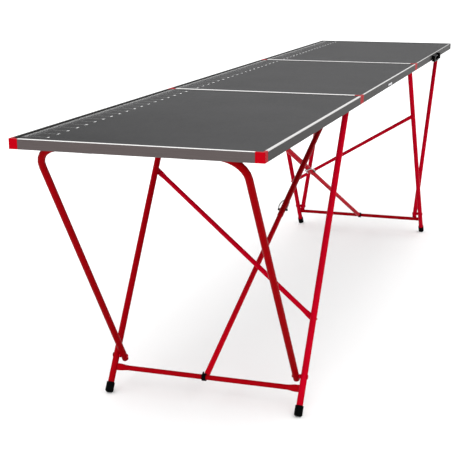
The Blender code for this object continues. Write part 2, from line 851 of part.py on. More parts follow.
def build_end(prefix, end, root):
    places = frame_places(end["inset"])
    stay = stay_places(places, end["anchor_x"], end["anchor_y"])
    frame = end["frame"]
    panel = end["panel"]
    hoop = joint(f"{prefix}_hoop_swing", frame @ places["hoop bar"], panel)
    legs = joint(f"{prefix}_leg_swing", frame @ places["pivot"], hoop)
    swing = joint(f"{prefix}_stay_swing", frame @ stay["anchor"], root)
    lock_at = stay["frame"] @ Vector((0, 0, lock_from_tube_end - stay_upper_length))
    slide = joint(f"{prefix}_stay_slide", frame @ lock_at, swing)
    bail = joint(f"{prefix}_bail_swing", frame @ lock_at, swing)

    add_part(f"{prefix}_hoop", hoop_mesh(places), "red tube", hoop, frame)
    add_part(f"{prefix}_hoop_clips", clips_mesh(places), "black", panel, frame)
    add_part(f"{prefix}_leg_hooks", hooks_mesh(places), "steel", panel, frame)
    boot = boot_mesh(places)
    rivet = rivet_mesh(places)
    for name, side in end["sides"]:
        add_part(f"{prefix}_{name}_leg", leg_mesh(places, side), "red tube", legs, frame)
        own_boot = boot.copy() if side > 0 else other_side(boot)
        own_rivet = rivet.copy() if side > 0 else other_side(rivet)
        add_part(f"{prefix}_{name}_boot", own_boot, "black", legs, frame)
        add_part(f"{prefix}_{name}_pivot_rivet", own_rivet, "red tube", legs, frame)
    add_part(f"{prefix}_crossbar", crossbar_mesh(places), "red tube", legs, frame)
    add_part(f"{prefix}_brace", brace_mesh(places), "red tube", legs, frame)
    add_part(f"{prefix}_leg_top_rod", top_rod_mesh(places), "steel", legs, frame)
    add_part(f"{prefix}_stay_collar", collar_mesh(places, stay), "black", legs, frame)
    add_part(f"{prefix}_stay_bracket", stay_bracket_mesh(stay), "steel", root, frame)
    add_part(f"{prefix}_stay_upper", stay_upper_mesh(stay), "red tube", swing, frame)
    add_part(f"{prefix}_stay_lower", stay_lower_mesh(places, stay), "red tube", slide, frame)
    add_part(f"{prefix}_lock_bail", bail_mesh(stay), "steel", bail, frame)


# Carrying handle on the far panel's front rail

def build_handle(panel):
    face_y = -half_width - fit_gap
    front_y = face_y - handle_mount_depth
    pivot_y = (face_y + front_y) / 2
    pivot_z = table_height - handle_drop
    low_z = pivot_z - handle_mount_height / 2
    high_z = pivot_z + handle_mount_height / 2
    plate = box((handle_start_x, face_y - handle_plate_thickness, low_z), (handle_end_x, face_y, high_z))
    blocks = []
    sockets = []
    inner_faces = []
    for start, inward in ((handle_start_x, 1), (handle_end_x, -1)):
        inner = start + inward * handle_mount_length
        inner_faces.append(inner)
        xs = sorted((start, inner))
        blocks.append(box((xs[0], front_y, low_z), (xs[1], face_y, high_z)))
        socket_end = inner - inward * (handle_peg_length + fit_gap)
        sockets.append(rod((socket_end, pivot_y, pivot_z), (inner + inward * cut_overrun, pivot_y, pivot_z),
                           handle_radius + fit_gap))
    along = Vector((1, 0, 0))
    first = Vector((inner_faces[0], pivot_y, pivot_z))
    last = Vector((inner_faces[1], pivot_y, pivot_z))
    turn_in = along * (fit_gap + handle_bend_radius)
    hang = -UP * handle_hang
    path = [first - along * handle_peg_length]
    path += bend(first + turn_in, along, -UP, handle_bend_radius)
    path += bend(first + turn_in + hang, -UP, along, handle_bend_radius)
    path += bend(last - turn_in + hang, along, UP, handle_bend_radius)
    path += bend(last - turn_in, UP, along, handle_bend_radius)
    path += [last + along * handle_peg_length]
    swing = joint("handle_swing", (first + last) / 2, panel)
    add_part("handle_mount", carved(plate, sockets, blocks), "black", panel, Matrix())
    add_part("handle_grip", bent_tube(path, handle_radius, wire_smoothness), "black", swing, Matrix())


# Catch on the middle panel's front rail

catch_place = Vector((catch_pivot_x, -half_width, table_height - catch_drop))


def catch_hole():
    inner = catch_place + SIDE * (rail_web + cut_overrun)
    return rod(catch_place - SIDE * cut_overrun, inner, catch_pin_radius + fit_gap, small_sides)


def build_catch(root):
    front = fit_gap + catch_thickness
    tail = -rail_web - fit_gap
    profile = [
        (0, front + catch_head_height), (catch_head_radius * dome_top_share, front + catch_head_height),
        (catch_head_radius, front + catch_head_height * dome_rim_share),
        (catch_head_radius, front - catch_thickness / 2), (catch_pin_radius, front - catch_thickness / 2),
        (catch_pin_radius, tail), (catch_head_radius, tail), (catch_head_radius, tail - catch_tail_height),
        (0, tail - catch_tail_height),
    ]
    pin = moved(turned(profile, small_sides), axes(catch_place, UP, UP.cross(-SIDE), -SIDE))
    half_plate = catch_width / 2
    back = catch_place - SIDE * fit_gap
    face = catch_place - SIDE * front
    plate = box((face.x - catch_length, face.y, face.z - half_plate), (back.x, back.y, back.z + half_plate))
    eye = rod(face, back, catch_eye_radius)
    notch_low = face.x - catch_length + catch_notch_from_tip
    notch = box((notch_low, face.y - cut_overrun, face.z - half_plate - cut_overrun),
                (notch_low + catch_notch_width, back.y + cut_overrun,
                 face.z - half_plate + catch_width * catch_notch_share))
    swing = joint("catch_swing", catch_place, root)
    add_part("catch_hook", carved(plate, [notch], [eye, pin]), "steel", swing, Matrix())


# The whole table

half_turn_z = Matrix.Diagonal((-1, -1, 1, 1))
middle_root = joint("middle_panel", (0, 0, table_height))
ENDS = {
    "near": {"frame": half_turn_z, "inset": 0, "anchor_x": near_anchor_x, "anchor_y": near_anchor_y,
             "sides": (("front", 1), ("back", -1))},
    "far": {"frame": Matrix(), "inset": far_frame_inset, "anchor_x": far_anchor_x,
            "anchor_y": far_anchor_y, "sides": (("front", -1), ("back", 1))},
}
for end_name, end_values in ENDS.items():
    fold_at = end_values["frame"] @ Vector((half_panel, 0, hinge_axis_z))
    end_values["panel"] = joint(f"{end_name}_panel_fold", fold_at, middle_root)

panel_gap = fit_gap / 2
build_panel("middle", panel_gap - half_panel, half_panel - panel_gap,
            ("near_front", "near_back", "far_front", "far_back"), middle_root, Matrix(), [catch_hole()])
for end_name, end_values in ENDS.items():
    low_side, high_side = [name for side, name in sorted((side, name) for name, side in end_values["sides"])]
    names = (f"joint_{low_side}", f"joint_{high_side}", f"end_{low_side}", f"end_{high_side}")
    build_panel(end_name, half_panel + panel_gap, table_end_x, names,
                end_values["panel"], end_values["frame"])
build_hinges(middle_root, ENDS)
for end_name, end_values in ENDS.items():
    build_end(end_name, end_values, middle_root)
build_handle(ENDS["far"]["panel"])
build_catch(middle_root)
for spare in [mesh for mesh in bpy.data.meshes if mesh.users == 0]:
    bpy.data.meshes.remove(spare)
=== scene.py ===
"""Folding wallpaper pasting table: finishes, the printed scale, small hardware, light and camera.

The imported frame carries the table's solids. X runs along the table, +Y towards the scale, +Z up.
Sizes and places are in metres.
"""

import math

import bmesh
import bpy
from mathutils import Matrix, Vector


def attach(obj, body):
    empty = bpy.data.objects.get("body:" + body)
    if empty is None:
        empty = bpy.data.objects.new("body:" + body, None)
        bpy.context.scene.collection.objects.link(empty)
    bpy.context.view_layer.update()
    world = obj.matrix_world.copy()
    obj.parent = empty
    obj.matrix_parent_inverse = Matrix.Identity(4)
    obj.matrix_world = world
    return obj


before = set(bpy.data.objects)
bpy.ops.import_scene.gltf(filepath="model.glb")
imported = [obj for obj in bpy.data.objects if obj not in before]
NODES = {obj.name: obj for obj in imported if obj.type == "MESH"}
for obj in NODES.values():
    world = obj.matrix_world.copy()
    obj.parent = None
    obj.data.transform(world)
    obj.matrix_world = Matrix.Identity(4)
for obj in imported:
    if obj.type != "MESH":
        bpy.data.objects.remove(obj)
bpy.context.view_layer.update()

# The top
TOP_Z = 0.775
BOARD_Z = 0.7732
HALF_WIDTH = 0.300
HALF_LENGTH = 1.500
PANEL = 1.000
PANEL_MIDDLES = {"near": -PANEL, "middle": 0, "far": PANEL}

# Where the colours change on a panel's rail
END_RAIL = 0.0125          # the rail across the table lies this close to the panel's end
LIP_WIDTH = 0.0065
LIP_FACE = 0.0007          # the lip's painted reflection reaches this far down the rail's sides
LIP_BANDS = {"near": 0.0064, "middle": 0.0042, "far": 0.0034}         # width of the painted bright reflection along the front
FRONT_LIP_FACES = {"near": 0.0024, "middle": 0.0014, "far": 0.0007}   # height of the painted bright reflection on the front
FRONT_FACE_DEPTH = 0.0002  # what lies this near a rail's outer side counts as its face
SCALE_FACE_DEPTH = 0.002
EDGE_MARGIN = 0.0003       # a colour ends this far past the edge that it follows
DARK_TIP = 0.045           # dark end of the far rail, next to its black caps
LIP_FADES_FROM_X = 0.3     # the painted reflection on the long lips dims from here to the far end

# Where other colours change
BORDER_Y = 0.2880          # the board is black between here and the rail
PAINTED_SHADE_TO_X = -0.8         # painted shade darkens the board from here to its near end
PAINTED_SHADE_FROM_Y = -0.25      # and from here to the scale
TUBE_PAINTED_SHADE_Z = (0.12, 0.46)      # painted shade on the near stay's lower tube, which darkens between these heights

# The printed scale: each row of strokes has a spacing, a length and a width
SCALE_PITCH = 0.050
NUMBERS_ON_PANEL = 19
MILLIMETRE_ROW = (0.001, 0.0100, 0.0002)
CENTIMETRE_ROW = (0.010, 0.0240, 0.0004)
NUMBERED_ROW = (SCALE_PITCH, 0.0600, 0.0007)
SCALE_STARTS = {"near": 0.040, "middle": 0.010, "far": 0.010}
SCALE_STOPS_SHORT = 0.010
SCALE_ROOT_Y = 0.2875
NUMBER_Y = 0.2250
NUMBER_HEIGHT = 0.0066
NUMBER_BOLDNESS = 0.00018
WIDE_LETTERS = Matrix.Diagonal((1.25, 1, 1, 1))
INK_THICKNESS = 0.00006

# Fastenings
DOWN = (0, 0, -1)
FRONTWARDS = (0, -1, 0)
SMALL_HEAD = (0.0019, 0.0009)      # radius and height
FLAT_HEAD = (0.0026, 0.0013)
HEAD_SIDES = 20
HEAD_PROFILE = ((1.0, 0), (1.0, 0.25), (0.90, 0.55), (0.70, 0.82), (0.42, 0.98), (0.30, 0.98),
                (0.24, 0.70))      # rings from base to dimple, as shares of radius and height
HINGE_SCREW_FROM_JOINT = 0.0083
HINGE_SCREW_SPACING = 0.064
HINGE_SCREW_STEPS = (-2.5, -1.5, -0.5, 0.5, 1.5, 2.5)
LEAF_UNDERSIDE_Z = 0.74896
STRIP_UNDERSIDE_Z = 0.7669
HOOK_RIVET_X = 0.5765
HOOK_RIVET_YS = (-0.236, -0.120, 0, 0.120, 0.236)
FAR_FRAME_INSET = 0.033
BRACKET_BASE_ABOVE = 0.0005        # a bracket's base is what lies this far above the strip
BRACKET_RIVET_ALONG = 0.0205
BRACKET_RIVET_ASIDE = 0.0125
HANDLE_PLATE_Y = -0.3021
HANDLE_SCREW_Z = 0.7600
HANDLE_SCREW_XS = (0.9360, 1.0360)
SAME_POINT = 0.0000001             # points this close are merged

# The stay locks: where each lock's pin crosses the stay, and the stay's direction
LOCKS = {
    "near_lock_bail": ((-0.3440, -0.0222, 0.3819), (0.9073, -0.0294, 0.4194)),
    "far_lock_bail": ((0.3080, 0.0475, 0.3828), (-0.9062, 0.0623, 0.4183)),
}
KNOB_REACH = 0.0045

# Studio and camera
FLOOR_HALF = 30
SKY_STRENGTH = 1.45
CAMERA_PLACE = (-3.68445, -0.93840, 1.17475)
CAMERA_LENS = 87.053
CAMERA_SENSOR = 36
CAMERA_SHIFT = (0.00644, 0.06184)


# Node trees and finishes

class Tone:
    """A value that varies over a finish. Sums on it add Math nodes."""

    def __init__(self, finish, socket):
        self.finish = finish
        self.socket = socket

    def maths(self, operation, *values, clamp=False):
        settings = {"operation": operation, "use_clamp": clamp}
        node = self.finish.node("ShaderNodeMath", settings, dict(enumerate(values)))
        return Tone(self.finish, node.outputs[0])

    def __add__(self, other):
        return self.maths("ADD", self, other)

    def __radd__(self, other):
        return self.maths("ADD", other, self)

    def __sub__(self, other):
        return self.maths("SUBTRACT", self, other)

    def __rsub__(self, other):
        return self.maths("SUBTRACT", other, self)

    def __mul__(self, other):
        return self.maths("MULTIPLY", self, other)

    def __rmul__(self, other):
        return self.maths("MULTIPLY", other, self)

    def __or__(self, other):
        """Wherever either of two masks is."""
        return self.maths("MAXIMUM", self, other)

    def __abs__(self):
        return self.maths("ABSOLUTE", self)

    def above(self, level):
        return self.maths("GREATER_THAN", self, level)

    def below(self, level):
        return self.maths("LESS_THAN", self, level)

    def rise(self, low, high):
        """0 below low, 1 above high, straight between."""
        return self.maths("MULTIPLY", self - low, 1 / (high - low), clamp=True)

    def spread(self):
        """Noise, which lies mostly between 0.3 and 0.7, spread over 0 to 1."""
        return self.rise(0.3, 0.7)


class NodeTree:
    """A node tree, made node by node."""

    def __init__(self, tree):
        self.tree = tree

    def node(self, kind, settings=None, sockets=None):
        """A node with its settings set first, then the values or links of its sockets."""
        made = self.tree.nodes.new(kind)
        for name, value in (settings or {}).items():
            setattr(made, name, value)
        for name, value in (sockets or {}).items():
            self.feed(made.inputs[name], value)
        return made

    def feed(self, socket, value):
        value = getattr(value, "socket", value)
        if isinstance(value, bpy.types.NodeSocket):
            self.tree.links.new(value, socket)
        else:
            socket.default_value = value


class Finish(NodeTree):
    """A material around one Principled shader."""

    def __init__(self, name, colour, roughness, metallic=0.0, specular=0.5):
        self.material = bpy.data.materials.new(name)
        self.material.use_nodes = True
        super().__init__(self.material.node_tree)
        self.shader = self.tree.nodes["Principled BSDF"]
        self.shader.inputs["Specular IOR Level"].default_value = specular
        self.set(**{"Base Color": (*colour, 1), "Roughness": roughness, "Metallic": metallic})
        self.place = self.node("ShaderNodeTexCoord").outputs["Object"]
        axes = self.node("ShaderNodeSeparateXYZ", sockets={0: self.place})
        self.x, self.y, self.z = [Tone(self, axes.outputs[i]) for i in range(3)]

    def set(self, **values):
        for name, value in values.items():
            self.feed(self.shader.inputs[name], value)

    def paint(self, colour, roughness):
        self.set(**{"Base Color": colour, "Roughness": roughness})

    def noise(self, scale, detail=3, roughness=0.5, stretch=(1, 1, 1), shift=0):
        """Cloudy noise from 0 to 1, with scale features to the metre."""
        mapped = self.node("ShaderNodeMapping", sockets={
            "Vector": self.place, "Scale": stretch, "Location": (shift, shift, shift)})
        node = self.node("ShaderNodeTexNoise", sockets={
            "Vector": mapped.outputs[0], "Scale": scale, "Detail": detail, "Roughness": roughness})
        return Tone(self, node.outputs["Fac"])

    def mix(self, share, first, second):
        """A colour between two colours."""
        node = self.node("ShaderNodeMix", {"data_type": "RGBA"}, {0: share})
        for index, colour in ((6, first), (7, second)):
            self.feed(node.inputs[index], (*colour, 1) if isinstance(colour, tuple) else colour)
        return node.outputs[2]

    def bump(self, height, strength, distance):
        node = self.node("ShaderNodeBump", sockets={
            "Height": height, "Strength": strength, "Distance": distance})
        self.set(Normal=node.outputs[0])


def grey(level):
    return (level, level, level)


def darker(colour, share):
    return tuple(value * share for value in colour)


def board_finish():
    """Hard matt coating, finely grained and faintly cloudy, with painted shade towards the near end
    on the scale side.
    """
    look = Finish("board_coating", (0.042, 0.042, 0.043), 0.66, specular=0.03)
    cloud = look.noise(5, detail=4, roughness=0.6)
    grain = look.noise(1400, detail=2, roughness=0.6)
    speck = look.noise(3200, detail=1, shift=3).above(0.66)
    coating = look.mix(cloud.spread(), (0.035, 0.035, 0.036), (0.043, 0.043, 0.044))
    coating = look.mix(grain.rise(0.35, 0.65) * 0.35, coating, (0.030, 0.030, 0.031))
    coating = look.mix(speck * 0.35, coating, grey(0.11))
    # painted shade: the board's colour darkens towards its near end on the scale side, where less
    # light falls
    near_end = 1 - look.x.rise(-HALF_LENGTH, PAINTED_SHADE_TO_X)
    painted_shade = near_end * look.y.rise(PAINTED_SHADE_FROM_Y, HALF_WIDTH)
    coating = look.mix(painted_shade * 0.55, coating, grey(0.006))
    scuff = look.noise(26, detail=5, roughness=0.7, stretch=(1, 3, 1), shift=7)
    look.paint(look.mix(look.y.above(BORDER_Y), coating, grey(0.010)),
               0.55 + 0.10 * grain + 0.08 * scuff)
    look.bump(grain, strength=0.25, distance=0.0002)
    return look.material


def rail_finish(name, middle_x):
    """Grey lacquered aluminium, drawn lengthwise, with a painted reflection on its lip: bright, but
    dark along the scale side; the long sides are painted darker than the ends as painted shade.
    """
    look = Finish(f"{name}_rail_lacquer", (0.075, 0.068, 0.066), 0.42, specular=0.046)
    across = abs(look.x - middle_x).above(PANEL / 2 - END_RAIL)
    along = 1 - across
    long_grain = look.noise(900, roughness=0.6, stretch=(0.012, 1, 1))
    cross_grain = look.noise(900, roughness=0.6, stretch=(1, 0.012, 1), shift=5)
    grain = cross_grain * across + long_grain * along
    wear = look.noise(60, detail=5, roughness=0.7, stretch=(0.3, 0.3, 1), shift=2)

    # painted light and shade: the same lacquer is painted darker on the long sides and lighter on
    # the ends
    long_side_painted_shade = look.mix(grain.spread(), (0.022, 0.0207, 0.0203), (0.029, 0.0273, 0.0265))
    end_side_painted_light = look.mix(grain.spread(), (0.056, 0.046, 0.045), (0.070, 0.059, 0.058))
    lacquer = look.mix(across, long_side_painted_shade, end_side_painted_light)
    lacquer = look.mix(wear.rise(0.62, 0.75) * 0.2, lacquer, (0.08, 0.078, 0.076))

    # painted reflection: the lip's bright colour, dimmer towards the far end and brightest on the
    # panel's ends
    bright = look.mix(grain.spread(), (0.40, 0.395, 0.39), (0.48, 0.475, 0.47))
    fading = look.x.rise(LIP_FADES_FROM_X, HALF_LENGTH) * 0.5
    bright = look.mix(fading, bright, (0.075, 0.075, 0.074))
    bright = look.mix(across, bright, (0.62, 0.615, 0.61))

    # where the painted reflections go: the lip's top, the front's band and face, and the scale side
    high = look.z.above(TOP_Z - LIP_FACE)
    front_band = look.y.below(LIP_BANDS[name] - HALF_WIDTH) * along
    front_high = look.z.above(TOP_Z - FRONT_LIP_FACES[name])
    front_face = look.y.below(FRONT_FACE_DEPTH - HALF_WIDTH) * front_high * along
    # painted dark reflection on the lip along the scale side
    dark_reflection_side = look.y.above(HALF_WIDTH - LIP_WIDTH - EDGE_MARGIN)
    lip = high * (front_band | across) | front_face | dark_reflection_side * high
    # the far end's lip gets the painted dark reflection too; the rail's last stretch is made dark
    # beside the black caps
    if name == "far":
        tip = look.x.above(HALF_LENGTH - DARK_TIP)
        dark_reflection_side = dark_reflection_side | look.x.above(HALF_LENGTH - LIP_WIDTH - EDGE_MARGIN) | tip
        lacquer = look.mix(tip, lacquer, grey(0.010))
    # the lip's colour: painted bright reflection, or painted dark reflection on the dark side
    lip_reflection_colour = look.mix(dark_reflection_side, bright, grey(0.010))
    below_board = look.z.below(BOARD_Z - EDGE_MARGIN)
    hidden = look.y.below(HALF_WIDTH - SCALE_FACE_DEPTH) * below_board
    pale = lip * (1 - dark_reflection_side)
    look.paint(look.mix(lip * (1 - hidden), lacquer, lip_reflection_colour),
               0.36 + 0.14 * grain + 0.06 * wear - 0.10 * pale)
    look.bump(grain, strength=0.20, distance=0.0001)
    return look.material


def moulded_finish(name, colour, worn, roughness, specular, grain_scale=1800):
    """Moulded plastic or rubber with a fine grain and rubbed spots."""
    look = Finish(name, colour, roughness, specular=specular)
    grain = look.noise(grain_scale, detail=2, roughness=0.6)
    rubbed = look.noise(90, detail=5, roughness=0.7, shift=4)
    shade = look.mix(grain.spread(), darker(colour, 0.82), colour)
    look.paint(look.mix(rubbed.rise(0.62, 0.78) * 0.10, shade, worn),
               roughness + 0.10 * grain + 0.08 * rubbed)
    look.bump(grain, strength=0.15, distance=0.00012)
    return look.material


def powder_coat_finish(name, colour, shadow, high=None):
    """Glossy powder coat with orange peel and rubbed patches; high, if given, is painted shade: the
    tube's colour high up, under the table top.
    """
    look = Finish(name, colour, 0.24, specular=0.009)
    peel = look.noise(520, detail=2)
    cloud = look.noise(14, detail=4, roughness=0.6, shift=2)
    rubbed = look.noise(70, detail=6, roughness=0.75, shift=9).rise(0.60, 0.72)
    shade = look.mix(cloud.spread(), shadow, colour)
    # painted shade: the colour turns to high further up, where the table top shades the tube
    if high:
        shade = look.mix(look.z.rise(*TUBE_PAINTED_SHADE_Z), shade, high)
    look.paint(look.mix(rubbed * 0.18, shade, darker(colour, 0.6)),
               0.20 + 0.08 * peel + 0.22 * rubbed)
    look.bump(peel, strength=0.22, distance=0.00025)
    return look.material


def zinc_finish():
    """Bright zinc plate: clouded spangle, fine scratches."""
    zinc = (0.60, 0.60, 0.62)
    look = Finish("zinc_plate", zinc, 0.30, metallic=1.0)
    spangle = look.noise(240, roughness=0.6)
    scratch = look.noise(1600, detail=2, roughness=0.6, stretch=(0.08, 1, 1), shift=3)
    look.paint(look.mix(spangle.spread(), darker(zinc, 0.78), zinc),
               0.20 + 0.20 * spangle + 0.10 * scratch)
    look.bump(scratch, strength=0.15, distance=0.0001)
    return look.material


def lock_finish(name, pin, stay):
    """Zinc wire whose two knobs, at the lock's pin, are black plastic."""
    look = Finish(f"{name}_wire", (0.36, 0.36, 0.35), 0.34, metallic=0.75)
    drawn = look.noise(900, detail=2, roughness=0.6, stretch=(1, 1, 0.1))
    from_pin = ((look.x - pin[0]) * stay[0] + (look.y - pin[1]) * stay[1]
                + (look.z - pin[2]) * stay[2])
    knob = abs(from_pin).below(KNOB_REACH)
    wire = look.mix(drawn.spread(), (0.30, 0.30, 0.29), (0.44, 0.44, 0.43))
    look.paint(look.mix(knob, wire, (0.006, 0.006, 0.0065)), 0.28 + 0.12 * drawn + 0.12 * knob)
    look.set(Metallic=0.75 - 0.75 * knob)
    return look.material


def ink_finish(name, thin, full):
    """Pale printing ink, slightly uneven between a thin and a full coat."""
    look = Finish(name, full, 0.5, specular=0.1)
    patchy = look.noise(700, roughness=0.6)
    look.paint(look.mix(patchy.spread(), thin, full), 0.42 + 0.16 * patchy)
    return look.material


BOARD = board_finish()
CAP_RED = moulded_finish(
    "cap_red", (0.31, 0.0002, 0.004), worn=(0.34, 0.01, 0.015), roughness=0.26, specular=0.009)
BLACK_PLASTIC = moulded_finish(
    "black_plastic", (0.0012, 0.0012, 0.0013), worn=grey(0.02), roughness=0.30, specular=0.012)
BOOT_RUBBER = moulded_finish(
    "boot_rubber", (0.0008, 0.0008, 0.0009), worn=grey(0.012), roughness=0.42, specular=0.015,
    grain_scale=1100)
RED_TUBE = powder_coat_finish(
    "red_powder_coat", (0.36, 0.0002, 0.009), shadow=(0.31, 0.0002, 0.007))
# painted shade: a darker copy of the red powder coat, for the near hoop
RED_PAINTED_DEEP_SHADE = powder_coat_finish(
    "deep_red_powder_coat", (0.195, 0.0002, 0.002), shadow=(0.170, 0.0002, 0.001))
# painted shade: a darker copy of the red powder coat, for the crossbars and the near back leg
RED_PAINTED_HALF_SHADE = powder_coat_finish(
    "middle_red_powder_coat", (0.245, 0.0002, 0.003), shadow=(0.215, 0.0002, 0.002))
# painted shade: the near stay's lower tube darkens higher up, under the table top
RED_SHADED_HIGH_UP = powder_coat_finish(
    "fading_red_powder_coat", (0.38, 0.0002, 0.006), shadow=(0.34, 0.0002, 0.005),
    high=(0.20, 0.0002, 0.002))
# painted shade: a dark copy of the red powder coat, for the near stay's upper tube
RED_PAINTED_DARK_SHADE = powder_coat_finish(
    "dark_red_powder_coat", (0.19, 0.0002, 0.002), shadow=(0.16, 0.0002, 0.001))
ZINC = zinc_finish()
STROKE_INK = ink_finish("stroke_ink", grey(0.28), grey(0.38))
NUMBER_INK = ink_finish("number_ink", grey(0.78), grey(0.90))

OWN_FINISHES = {
    "near_stay_upper": RED_PAINTED_DARK_SHADE,
    "near_stay_lower": RED_SHADED_HIGH_UP,
    "near_hoop": RED_PAINTED_DEEP_SHADE,
    "near_back_leg": RED_PAINTED_HALF_SHADE,
}
FINISHES_BY_ENDING = {
    ("_board",): BOARD,
    ("_boot",): BOOT_RUBBER,
    ("_crossbar",): RED_PAINTED_HALF_SHADE,
    ("_hoop", "_leg", "_brace", "_stay_upper", "_stay_lower", "_rivet"): RED_TUBE,
    ("_hoop_clips", "_stay_collar", "handle_grip", "handle_mount"): BLACK_PLASTIC,
}


def finish_for(node):
    if node in OWN_FINISHES:
        return OWN_FINISHES[node]
    if node in LOCKS:
        return lock_finish(node, *LOCKS[node])
    if node.endswith("_frame"):
        name = node.removesuffix("_frame")
        return rail_finish(name, PANEL_MIDDLES[name])
    if "_cap_" in node:
        return BLACK_PLASTIC if node.startswith("far_cap_end") else CAP_RED
    for endings, finish in FINISHES_BY_ENDING.items():
        if node.endswith(endings):
            return finish
    return ZINC


for node_name, solid in NODES.items():
    solid.data.materials.clear()
    solid.data.materials.append(finish_for(node_name))


# Making pieces

class Recipe(NodeTree):
    """A Geometry Nodes tree that lays copies of a shape, with named inputs."""

    def __init__(self, name, inputs):
        super().__init__(bpy.data.node_groups.new(name, "GeometryNodeTree"))
        for label, kind in inputs.items():
            self.tree.interface.new_socket(label, in_out="INPUT", socket_type=kind)
        self.tree.interface.new_socket("Copies", in_out="OUTPUT", socket_type="NodeSocketGeometry")
        self.given = self.node("NodeGroupInput").outputs

    def lay(self, sockets):
        """Puts the instance on the points, and makes it real with the material given."""
        placed = self.node("GeometryNodeInstanceOnPoints", sockets=sockets)
        real = self.node("GeometryNodeRealizeInstances", sockets={
            "Geometry": placed.outputs["Instances"]})
        coated = self.node("GeometryNodeSetMaterial", sockets={
            "Geometry": real.outputs["Geometry"], "Material": self.given["Coat"]})
        self.node("NodeGroupOutput", sockets={0: coated.outputs["Geometry"]})

    def made_on(self, base, values):
        """The plain mesh that the tree makes on a base mesh from values for its inputs."""
        holder = scratch_object("holder", base)
        modifier = holder.modifiers.new("Recipe", "NODES")
        modifier.node_group = self.tree
        for item in self.tree.interface.items_tree:
            if item.in_out == "INPUT" and item.name in values:
                modifier[item.identifier] = values[item.name]
        holder.update_tag()
        bpy.context.view_layer.update()
        return plain_mesh(holder)


def scratch_object(name, data):
    made = bpy.data.objects.new(name, data)
    bpy.context.scene.collection.objects.link(made)
    return made


def plain_mesh(holder):
    """A scratch object's evaluated shape as a mesh; the object is removed."""
    seen = holder.evaluated_get(bpy.context.evaluated_depsgraph_get())
    mesh = bpy.data.meshes.new_from_object(seen)
    bpy.data.objects.remove(holder)
    return mesh


def joined(meshes):
    bm = bmesh.new()
    for mesh in meshes:
        bm.from_mesh(mesh)
        bpy.data.meshes.remove(mesh)
    bmesh.ops.remove_doubles(bm, verts=bm.verts, dist=SAME_POINT)
    result = bpy.data.meshes.new("joined")
    bm.to_mesh(result)
    bm.free()
    return result


def add_piece(name, meshes, material, body):
    """One piece of several meshes, with its place in its mesh, riding on its body."""
    mesh = joined(meshes)
    mesh.materials.append(material)
    piece = bpy.data.objects.new(name, mesh)
    bpy.context.scene.collection.objects.link(piece)
    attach(piece, body)


# The printed scale

def strokes_recipe():
    """Equal printed strokes along X from a first place."""
    recipe = Recipe("printed_ticks", {
        "First Place": "NodeSocketVector", "Pitch": "NodeSocketFloat", "Count": "NodeSocketInt",
        "Stroke": "NodeSocketVector", "Coat": "NodeSocketMaterial"})
    given = recipe.given
    step = recipe.node("ShaderNodeCombineXYZ", sockets={"X": given["Pitch"]})
    line = recipe.node("GeometryNodeMeshLine", sockets={
        "Count": given["Count"], "Start Location": given["First Place"], "Offset": step.outputs[0]})
    stroke = recipe.node("GeometryNodeMeshCube", sockets={"Size": given["Stroke"]})
    recipe.lay({"Points": line.outputs["Mesh"], "Instance": stroke.outputs["Mesh"]})
    return recipe


STROKES = strokes_recipe()


def row_of_strokes(first_x, count, row):
    """Strokes from the scale's root line towards the middle of the board."""
    pitch, length, width = row
    return STROKES.made_on(bpy.data.meshes.new("strokes"), {
        "First Place": (first_x, SCALE_ROOT_Y - length / 2, BOARD_Z + INK_THICKNESS / 2),
        "Pitch": pitch, "Count": count, "Stroke": (width, length, INK_THICKNESS),
        "Coat": STROKE_INK})


def number_mesh(text, x):
    """A printed number, centred on its place and readable from the front side."""
    curve = bpy.data.curves.new("number", "FONT")
    curve.body = text
    curve.size = NUMBER_HEIGHT
    curve.align_x = "CENTER"
    curve.align_y = "CENTER"
    curve.extrude = INK_THICKNESS / 2
    curve.offset = NUMBER_BOLDNESS
    curve.resolution_u = 2
    mesh = plain_mesh(scratch_object("number", curve))
    place = Matrix.Translation((x, NUMBER_Y, BOARD_Z + INK_THICKNESS / 2))
    mesh.transform(place @ WIDE_LETTERS)
    return mesh


def scale_print(name, middle_x):
    """Millimetre, centimetre and long strokes, and a number every five centimetres, on a panel."""
    start = middle_x - PANEL / 2
    first = SCALE_STARTS[name]
    strokes = []
    for row in (MILLIMETRE_ROW, CENTIMETRE_ROW):
        count = round((PANEL - SCALE_STOPS_SHORT - first) / row[0]) + 1
        strokes.append(row_of_strokes(start + first, count, row))
    strokes.append(row_of_strokes(start + SCALE_PITCH, NUMBERS_ON_PANEL, NUMBERED_ROW))
    numbers = []
    for index in range(1, NUMBERS_ON_PANEL + 1):
        x = start + SCALE_PITCH * index
        millimetres = round((x + HALF_LENGTH) * 1000)
        numbers.append(number_mesh(str(millimetres), x))
    add_piece(f"{name}_scale_strokes", strokes, STROKE_INK, f"{name}_panel")
    add_piece(f"{name}_scale_numbers", numbers, NUMBER_INK, f"{name}_panel")


for panel_name, panel_middle in PANEL_MIDDLES.items():
    scale_print(panel_name, panel_middle)


# Heads of rivets and screws

def head_object(radius, height):
    """A round head with a dimple, its flat side on the origin, as an object to copy."""
    bm = bmesh.new()
    rings = []
    for share, rise in HEAD_PROFILE:
        ring = []
        for index in range(HEAD_SIDES):
            angle = math.tau * index / HEAD_SIDES
            ring.append(bm.verts.new((radius * share * math.cos(angle),
                                      radius * share * math.sin(angle), height * rise)))
        rings.append(ring)
    for lower, upper in zip(rings, rings[1:]):
        for index in range(HEAD_SIDES):
            after = (index + 1) % HEAD_SIDES
            bm.faces.new((lower[index], lower[after], upper[after], upper[index]))
    bm.faces.new(rings[0][::-1])
    bm.faces.new(rings[-1])
    mesh = bpy.data.meshes.new("head")
    bm.to_mesh(mesh)
    bm.free()
    return scratch_object("head", mesh)


